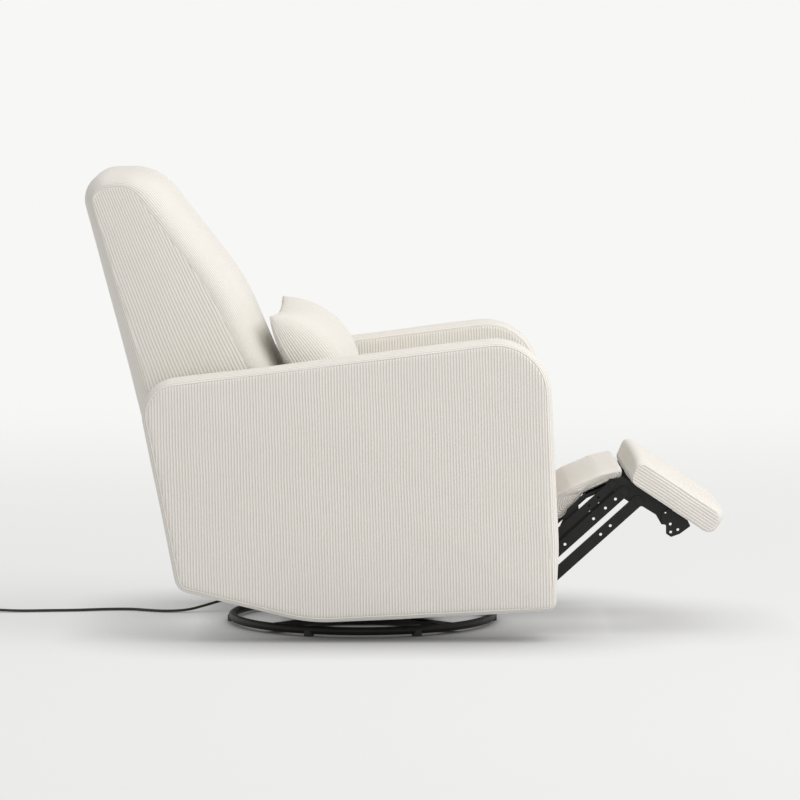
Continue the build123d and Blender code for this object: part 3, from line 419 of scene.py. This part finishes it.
def roundedLoop(corners, radii, count):
    # a closed outline with an arc at each corner, in even steps; corners in mm
    path = []
    for k, corner in enumerate(corners):
        beside = (corners[k - 1], corners[(k + 1) % len(corners)])
        here, before, after = (Vector(p) for p in (corner, *beside))
        toBefore, toAfter = (before - here).normalized(), (after - here).normalized()
        halfAngle = toBefore.angle(toAfter) / 2
        cut = radii[k] / math.tan(halfAngle)
        centre = here + (toBefore + toAfter).normalized() * (radii[k] / math.sin(halfAngle))
        start, end = here + toBefore * cut - centre, here + toAfter * cut - centre
        sweep = start.angle_signed(end)
        for step in range(arcSteps + 1):
            turn = -sweep * step / arcSteps
            path.append(centre + Vector((start.x * math.cos(turn) - start.y * math.sin(turn),
                                         start.x * math.sin(turn) + start.y * math.cos(turn))))
    lengths = [(path[(k + 1) % len(path)] - p).length for k, p in enumerate(path)]
    stride, walked, index, loop = sum(lengths) / count, 0.0, 0, []
    for k in range(count):
        while walked + lengths[index] < k * stride and index < len(path) - 1:
            walked += lengths[index]
            index += 1
        part = (k * stride - walked) / max(lengths[index], 1e-9)
        loop.append(path[index].lerp(path[(index + 1) % len(path)], part))
    return loop


def insetLoop(loop, distances):
    # the outline moved inwards, by one distance for each point
    moved = []
    turning = sum(p.x * q.y - p.y * q.x for p, q in zip(loop, loop[1:] + loop[:1]))
    way = 1 if turning > 0 else -1
    for k, p in enumerate(loop):
        along = (loop[(k + 1) % len(loop)] - loop[k - 1]).normalized()
        moved.append(p + Vector((-along.y, along.x)) * way * distances[k])
    return moved


def facePull(loop, y, way, crown, steps):
    # rings over an end panel, crowned outwards; each step is a share of the way from its middle to its rim
    middle = sum(loop, Vector((0.0, 0.0))) / len(loop)
    rings = []
    for f in steps:
        height = y + way * crown * (1 - f * f)
        rings.append([(p.x, height, p.y) for p in (middle.lerp(q, f) for q in loop)])
    return rings


def softCreases(piece, size, height, seed):
    # slow hand-sized unevenness of upholstery over foam, in a place of its own for each seed
    moved = []
    for vertex in piece.data.vertices:
        spot = vertex.co / size + Vector((seed, 3.1 * seed, 7.7))
        moved.extend(vertex.co + vertex.normal * height * noise.noise(spot))
    piece.data.vertices.foreach_set("co", moved)
    piece.data.update()


def panelSlots(bands, ringCount, ends):
    # the end panels take the first cloth, what runs round between them the second
    return [0 if b < ends - 1 or b > ringCount - ends - 1 else 1 for b in bands]


# arms: two side panels sewn to a boxing band that runs round the edge
armShape = {
    "corners": [(414, 66), (-112, 40), (-398, 112), (-486, 552), (396, 661), (419, 200)],
    "radii": [22, 350, 34, 75, 118, 600],
    "inner": 271, "outer": 385, "points": 420, "innerCrown": 1.0, "outerCrown": 5.0,
    "seamAtTop": 11.5, "seamAtToe": 21, "seamRoundToe": 9,
    "frontFrom": 330, "frontRun": 70, "lowFrom": 600, "lowRun": 480, "toeFull": 1.6, "toeReach": 75,
    "rim": [(2.3, 0.0), (1.75, 0.2), (1.35, 0.6), (1.14, 1.2), (1.04, 2.2), (0.98, 2.2), (0.9, 1.8),
            (0.72, 3.0), (0.52, 5.5), (0.32, 9.0), (0.15, 13.5), (0.04, 18.5), (0.0, 25.0),
            (-0.06, 40.0)],  # inset in seam widths, depth from the face in mm
    "rimOnPanel": 5, "crease": (0.16, 0.0016),
}


def armSeam(p):
    # the band shows wider down the front edge, and narrows round the toe
    front = clamped((p.x - armShape["frontFrom"]) / armShape["frontRun"])
    low = clamped((armShape["lowFrom"] - p.y) / armShape["lowRun"])
    seam = armShape["seamAtTop"] + (armShape["seamAtToe"] - armShape["seamAtTop"]) * front * low
    toToe = (p - Vector(armShape["corners"][0])).length
    nearToe = clamped(armShape["toeFull"] - toToe / armShape["toeReach"])
    return seam + (armShape["seamRoundToe"] - seam) * nearToe


def makeArm(name, side, node):
    loop = roundedLoop(armShape["corners"], armShape["radii"], armShape["points"])
    seam = [armSeam(p) for p in loop]
    rimLoops = [(insetLoop(loop, [inset * s for s in seam]), depth) for inset, depth in armShape["rim"]]
    panelEdge = [p * mm for p in rimLoops[0][0]]
    rings = []
    for face, crown, sign in ((armShape["outer"], armShape["outerCrown"], 1),
                              (armShape["inner"], armShape["innerCrown"], -1)):
        y = face * side
        way = side * sign
        faceRings = facePull(panelEdge, y * mm, way, crown * mm, reversed(faceSteps))
        for rimLoop, depth in rimLoops:
            faceRings.append([(p.x * mm, (y - way * depth) * mm, p.y * mm) for p in rimLoop])
        rings = faceRings if sign > 0 else rings + faceRings[::-1]
    verts, faces, bands = closedRings(rings)
    slots = panelSlots(bands, len(rings), len(faceSteps) + armShape["rimOnPanel"])
    if side > 0:
        faces = [f[::-1] for f in faces]
    arm = addPiece(name, verts, faces, [ribsUpArm, ribsAlong], slots, "seat", [node])
    markRibs(arm, rings)
    softCreases(arm, *armShape["crease"], side * 2.0 + 5)


makeArm("arm_near_cover", -1, "arm_right")
makeArm("arm_far_cover", 1, "arm_left")
print("arms upholstered")


def makeCushion(name, loops, materials, body, replaced, shape):
    # loops: (outline in mm, y in mm) from the near end to the far end; end panels are sewn in with a seam
    (nearLoop, nearY), (farLoop, farY) = loops[0], loops[-1]
    crown, seamDepth, fill = shape["crown"] * mm, shape["seamDepth"] * mm, shape["fill"]
    near = facePull([p * mm for p in nearLoop], nearY * mm, -1, crown, reversed(faceSteps))
    far = facePull([p * mm for p in farLoop], farY * mm, 1, crown, faceSteps)
    near[-1] = [(x, y + seamDepth, z) for x, y, z in near[-1]]
    far[0] = [(x, y - seamDepth, z) for x, y, z in far[0]]
    rings = near + [[(p.x * mm, y * mm, p.y * mm) for p in loop] for loop, y in loops] + far
    verts, faces, bands = closedRings(rings)
    slots = panelSlots(bands, len(rings), len(faceSteps))
    piece = addPiece(name, verts, faces, materials, slots, body, replaced)
    markRibs(piece, rings)
    softCreases(piece, *shape["crease"])


def mirrored(half):
    # rows that start with y, from the middle outwards, continued to the near end
    return [(-y, *rest) for y, *rest in reversed(half[1:])] + half


def betweenStations(stations, steps):
    # rows between the stations, closer together towards the ends
    half = []
    for k in range(steps + 1):
        y = stations[-1][0] * math.sin(math.pi / 2 * k / steps)
        for low, high in zip(stations, stations[1:]):
            if low[0] <= y <= high[0]:
                part = (y - low[0]) / (high[0] - low[0])
                half.append((y, *(a + (b - a) * part for a, b in zip(low[1:], high[1:]))))
                break
    return mirrored(half)


def stationLoops(loop, stations, steps):
    # the outline at each y, drawn in towards the ends; stations are (y, inset) from the middle outwards
    return [(insetLoop(loop, [inset] * len(loop)), y) for y, inset in betweenStations(stations, steps)]


# back: a deep cushion that rolls into its front, with a side panel each side
backShape = {
    "corners": [(-460, 395), (-618, 997), (-446, 1003), (-260, 757), (-100, 395)],
    "radii": [40, 60, 120, 600, 40],
    "half": 262, "roll": 122, "rearInset": 30, "frontInset": 75, "bottomInset": 42,
    "topShare": 0.7, "topCut": 0.9, "points": 300, "flatSteps": 6, "rollSteps": 22,
    "crown": 4, "seamDepth": 0.3, "fill": 0.8, "crease": (0.2, 0.003, 11.0),
}


def backSection(share):
    # the side view, drawn in by a share of the roll
    rear, front, lift = (share * backShape[key] for key in ("rearInset", "frontInset", "bottomInset"))
    top = backShape["topShare"] * front
    moves = [(rear, lift), (rear, -rear), (-top, -rear), (-front, 0), (-front, lift)]
    corners = [(x + dx, z + dz) for (x, z), (dx, dz) in zip(backShape["corners"], moves)]
    cuts = [0, rear, backShape["topCut"] * front, 0, 0]
    return roundedLoop(corners, [r - cut for r, cut in zip(backShape["radii"], cuts)], backShape["points"])


backFlat = backShape["half"] - backShape["roll"]
backHalf = [(backFlat * k / backShape["flatSteps"], 0.0) for k in range(backShape["flatSteps"])]
for k in range(backShape["rollSteps"] + 1):
    turn = math.pi / 2 * k / backShape["rollSteps"]
    backHalf.append((backFlat + backShape["roll"] * math.sin(turn), 1 - math.cos(turn)))
backLoops = [(backSection(share), y) for y, share in mirrored(backHalf)]
makeCushion("back_cover", backLoops, [ribsBack, ribsAlong], "back", ["back_cushion"], backShape)
print("back upholstered")

# rear of the back and the closing panel below it: fabric pulled over board
panelShapes = {
    "back_panel_cover": {"corners": [(-426, 301), (-434, 299), (-597, 923), (-589, 925)], "half": 165,
                         "body": "back", "node": "back_panel"},
    "rear_panel_cover": {"corners": [(-390, 128), (-398, 128), (-425, 262), (-417, 262)], "half": 271,
                         "body": "seat", "node": "rear_panel"},
}
boardCover = {"radius": 3.4, "points": 160, "edge": 4, "edgeInset": 2.5, "steps": 16, "crown": 0.5,
              "seamDepth": 0, "fill": 1.0, "crease": (0.2, 0.0004, 2.0)}
for panelName, panel in panelShapes.items():
    panelLoop = roundedLoop(panel["corners"], [boardCover["radius"]] * 4, boardCover["points"])
    panelHalf = panel["half"]
    panelStations = [(0, 0), (panelHalf - boardCover["edge"], 0), (panelHalf, boardCover["edgeInset"])]
    panelLoops = stationLoops(panelLoop, panelStations, boardCover["steps"])
    makeCushion(panelName, panelLoops, [ribsAlong, ribsAlong], panel["body"], [panel["node"]], boardCover)
print("rear panels covered")

# seat: crowned cushion between the arms; stations are (y, inset, drop of the top) from the middle outwards
seatShape = {"x": (-70, 402), "z": (388, 478), "radius": 26, "points": 240, "steps": 26,
             "stations": [(0, 0, 0), (120, 0, 2), (180, 0.5, 5), (220, 3, 10), (240, 6.5, 16), (254, 13, 25),
                          (262, 20, 34)],
             "crown": 4, "seamDepth": 2, "fill": 0.7, "crease": (0.15, 0.003, 21.0)}


def crownedLoops(shape, place):
    # a rounded bar at each y; place puts its points in the side view
    (x0, x1), (z0, z1) = shape["x"], shape["z"]
    loops = []
    for y, inset, drop in betweenStations(shape["stations"], shape["steps"]):
        left, right, top = x0 + inset, x1 - inset, z1 - drop
        radius = min(shape["radius"], (top - z0) / 2 - 1)
        bar = roundedLoop([(left, z0), (right, z0), (right, top), (left, top)], [radius] * 4, shape["points"])
        loops.append(([place(p) for p in bar], y))
    return loops


makeCushion("seat_cover", crownedLoops(seatShape, lambda p: p), [ribsUpArm, ribsAlong], "seat",
            ["seat_cushion"], seatShape)
print("seat upholstered")

# footrest pad, drawn along its own slope
padShape = {"x": (-12, 214), "z": (26.2, 88.2), "radius": 18, "points": 220, "steps": 26,
            "origin": (563.4, 310.3),
            "overhang": 9, "leanFrom": 45, "leanRise": 43, "leanEnd": 60, "leanRun": 72,
            "stations": [(0, 0, 0), (90, 0, 0.3), (150, 0, 1), (200, 0.9, 2.8), (235, 2, 5), (250, 4.8, 9.5),
                         (258, 8, 14)],
            "crown": 2.5, "seamDepth": 0.4, "fill": 0.8, "crease": (0.12, 0.0015, 31.0)}


def onPad(p):
    # the upper half of the end beside the flap leans over it
    rise = clamped((p.y - padShape["leanFrom"]) / padShape["leanRise"])
    nearFlap = clamped((padShape["leanEnd"] - p.x) / padShape["leanRun"])
    u = p.x - padShape["overhang"] * rise * nearFlap
    c, s = math.cos(padLean), math.sin(padLean)
    return Vector((padShape["origin"][0] + u * c - p.y * s, padShape["origin"][1] + u * s + p.y * c))


makeCushion("footrest_cover", crownedLoops(padShape, onPad), [ribsPadSide, ribsAlong], "footrest",
            ["footrest_pad"], padShape)

# flap: fabric over a bent board, behind the footrest
flapShape = {"corners": [(562, 338), (566, 362), (513, 350), (450, 323), (398, 292), (398, 240), (432, 246),
                         (478, 301)],
             "radii": [9, 9, 60, 60, 18, 16, 30, 40], "points": 240, "steps": 22,
             "stations": [(0, 0), (150, 0.5), (205, 2), (218, 4.2), (225, 7)],
             "crown": 1.5, "seamDepth": 0.8, "fill": 0.8, "crease": (0.1, 0.0012, 41.0)}
flapLoop = roundedLoop(flapShape["corners"], flapShape["radii"], flapShape["points"])
makeCushion("flap_cover", stationLoops(flapLoop, flapShape["stations"], flapShape["steps"]),
            [ribsAlong, ribsAlong], "flap", ["flap_pad"], flapShape)
print("footrest upholstered")

# pillow: two panels sewn round the edge, full in the middle, pulled in between the corners, lying askew
pillowShape = {"top": (-188, 697), "down": (0.6, -0.8), "height": 272, "half": 246, "front": 84, "rear": 40,
               "frontBlunt": 8, "rearBlunt": 4, "sideFall": 0.55, "topFall": 0.62, "edge": 1.2, "pull": 12,
               "sag": 0.09, "yaw": 0.045, "roll": 0.028, "wrap": 24, "steps": 64,
               "crease": (0.12, 0.0025, 51.0)}


def pillowSpot(s, t, thick, side):
    # s across from -1 to 1, t down from -1 to 1
    across = s * (pillowShape["half"] - pillowShape["pull"] * (1 - t * t) * s * s)
    drop = pillowShape["height"] / 2 * (1 + t * (1 - pillowShape["sag"] * (1 - s * s)))
    nx, nz = -pillowShape["down"][1], pillowShape["down"][0]
    out = side * thick - pillowShape["wrap"] * s ** 4 * (1 - t * t)
    x = pillowShape["top"][0] + pillowShape["down"][0] * drop + out * nx + pillowShape["yaw"] * across
    z = pillowShape["top"][1] + pillowShape["down"][1] * drop + out * nz + pillowShape["roll"] * across
    return (x * mm, across * mm, z * mm)


pillowVerts, pillowFaces, pillowRow = [], [], pillowShape["steps"] + 1
panelPoints = pillowRow * pillowRow
pillowSpread = [-math.cos(math.pi * i / pillowShape["steps"]) for i in range(pillowRow)]
for side, depth, blunt in ((1, pillowShape["front"], pillowShape["frontBlunt"]),
                           (-1, pillowShape["rear"], pillowShape["rearBlunt"])):
    for s in pillowSpread:
        for t in pillowSpread:
            fullAcross = max(1 - s ** blunt, 0.0) ** pillowShape["sideFall"]
            full = fullAcross * max(1 - t * t, 0.0) ** pillowShape["topFall"]
            pillowVerts.append(pillowSpot(s, t, depth * full + pillowShape["edge"], side))
    base = 0 if side > 0 else panelPoints
    for i in range(pillowShape["steps"]):
        for j in range(pillowShape["steps"]):
            a = base + i * pillowRow + j
            quad = (a, a + 1, a + pillowRow + 1, a + pillowRow)
            pillowFaces.append(quad if side > 0 else quad[::-1])

# the sewn edge, once round, joins the two panels
last = pillowShape["steps"]
rimIndex = [(i, 0) for i in range(last)] + [(last, j) for j in range(last)]
rimIndex += [(i, last) for i in range(last, 0, -1)] + [(0, j) for j in range(last, 0, -1)]
for (i, j), (nextI, nextJ) in zip(rimIndex, rimIndex[1:] + rimIndex[:1]):
    a, b = i * pillowRow + j, nextI * pillowRow + nextJ
    pillowFaces.append((a, b, b + panelPoints, a + panelPoints))

# the ribs are counted across the middle row of each panel
pillowReach = []
for first in (0, panelPoints):
    row = [pillowVerts[first + i * pillowRow + pillowRow // 2] for i in range(pillowRow)]
    walked = 0.0
    for i in range(pillowRow):
        walked += math.dist(row[i], row[max(i - 1, 0)])
        pillowReach.extend([walked] * pillowRow)
pillow = addPiece("pillow_cover", pillowVerts, pillowFaces, [ribsAlong], [0] * len(pillowFaces), "pillow",
                  ["lumbar_pillow"])
storeRibs(pillow, pillowReach)
softCreases(pillow, *pillowShape["crease"])
print("pillow filled")

# studio: pale floor that fades out behind, one large soft key above the front, a white room around it; part
# of the floor's colour is a painted glow that lifts the key's shadow, dimmed near the chair into a painted
# contact shadow
studio = {"floor": "E4E4E4", "paintedGlow": "EEEEEE", "paintedGlowShare": 0.66, "paintedShadeReach": 0.3, "paintedShadePower": 1.5,
          "floorX": (-14, 14), "floorY": (-12, 16), "floorDrop": 0.0006, "fade": (0.5, 6.0),
          "backdrop": "F7F7F6", "room": 0.6, "roomTint": (1.0, 0.985, 0.965, 1.0),
          "keyPower": 250.0, "keySize": 5.5, "keyPlace": (3.2, -1.6, 4.6), "keyTarget": (0.1, 0, 0.4)}
(floorLeft, floorRight), (floorNear, floorFar) = studio["floorX"], studio["floorY"]
floorMesh = bpy.data.meshes.new("studio_floor")
floorMesh.from_pydata([(floorLeft, floorNear, 0), (floorRight, floorNear, 0), (floorRight, floorFar, 0),
                       (floorLeft, floorFar, 0)], [], [(0, 1, 2, 3)])
floor = bpy.data.objects.new("studio_floor", floorMesh)
scene.collection.objects.link(floor)
floor.location.z = -studio["floorDrop"]
floorPaint, floorTree = newMaterial("floor_with_painted_glow_and_shade")
floorPlace = addNode(floorTree, "ShaderNodeTexCoord", {}, {}).outputs["Object"]
floorAxes = addNode(floorTree, "ShaderNodeSeparateXYZ", {}, {0: floorPlace})
floorFade = addNode(floorTree, "ShaderNodeMapRange", {"interpolation_type": "SMOOTHSTEP"},
                    {"Value": floorAxes.outputs["Y"], "From Min": studio["fade"][0],
                     "From Max": studio["fade"][1]})
floorMatt = addNode(floorTree, "ShaderNodeBsdfDiffuse", {}, {"Color": hexColour(studio["floor"])})
# ambient occlusion dims the floor's glow near and under the chair: a painted contact shadow
floorPaintedShade = addNode(floorTree, "ShaderNodeAmbientOcclusion", {}, {"Distance": studio["paintedShadeReach"]})
paintedShadeStrength = addNode(floorTree, "ShaderNodeMath", {"operation": "POWER"},
                    {0: floorPaintedShade.outputs["AO"], 1: studio["paintedShadePower"]})
# the floor glows though it is no lamp: painted light that lightens the key's shadow on it
floorPaintedGlow = addNode(floorTree, "ShaderNodeEmission", {},
                    {"Color": hexColour(studio["paintedGlow"]), "Strength": paintedShadeStrength.outputs[0]})
floorLitAndPaintedGlow = addNode(floorTree, "ShaderNodeMixShader", {},
                   {0: studio["paintedGlowShare"], 1: floorMatt.outputs[0], 2: floorPaintedGlow.outputs[0]})
floorClear = addNode(floorTree, "ShaderNodeBsdfTransparent", {}, {})
floorMix = addNode(floorTree, "ShaderNodeMixShader", {},
                   {0: floorFade.outputs[0], 1: floorLitAndPaintedGlow.outputs[0], 2: floorClear.outputs[0]})
addNode(floorTree, "ShaderNodeOutputMaterial", {}, {"Surface": floorMix.outputs[0]})
floorMesh.materials.append(floorPaint)

# the room's light is a little warm, what is seen of it is the plain backdrop
world = bpy.data.worlds.new("white_room")
scene.world = world
world.use_nodes = True
roomTree = world.node_tree
roomTree.nodes.clear()
lightPath = addNode(roomTree, "ShaderNodeLightPath", {}, {})
seen = addNode(roomTree, "ShaderNodeMath", {"operation": "MAXIMUM"},
               {0: lightPath.outputs["Is Camera Ray"], 1: lightPath.outputs["Is Glossy Ray"]})
seenThrough = addNode(roomTree, "ShaderNodeMath", {"operation": "MAXIMUM"},
                      {0: seen.outputs[0], 1: lightPath.outputs["Is Transmission Ray"]})
roomLight = addNode(roomTree, "ShaderNodeBackground", {},
                    {"Color": studio["roomTint"], "Strength": studio["room"]})
roomSeen = addNode(roomTree, "ShaderNodeBackground", {}, {"Color": hexColour(studio["backdrop"])})
roomMix = addNode(roomTree, "ShaderNodeMixShader", {},
                  {0: seenThrough.outputs[0], 1: roomLight.outputs[0], 2: roomSeen.outputs[0]})
addNode(roomTree, "ShaderNodeOutputWorld", {}, {"Surface": roomMix.outputs[0]})

key = bpy.data.objects.new("soft_key", bpy.data.lights.new("soft_key", "AREA"))
key.data.energy = studio["keyPower"]
key.data.size = studio["keySize"]
key.location = studio["keyPlace"]
key.rotation_euler = (Vector(studio["keyTarget"]) - key.location).to_track_quat("-Z", "Y").to_euler()
scene.collection.objects.link(key)
print("studio lit")
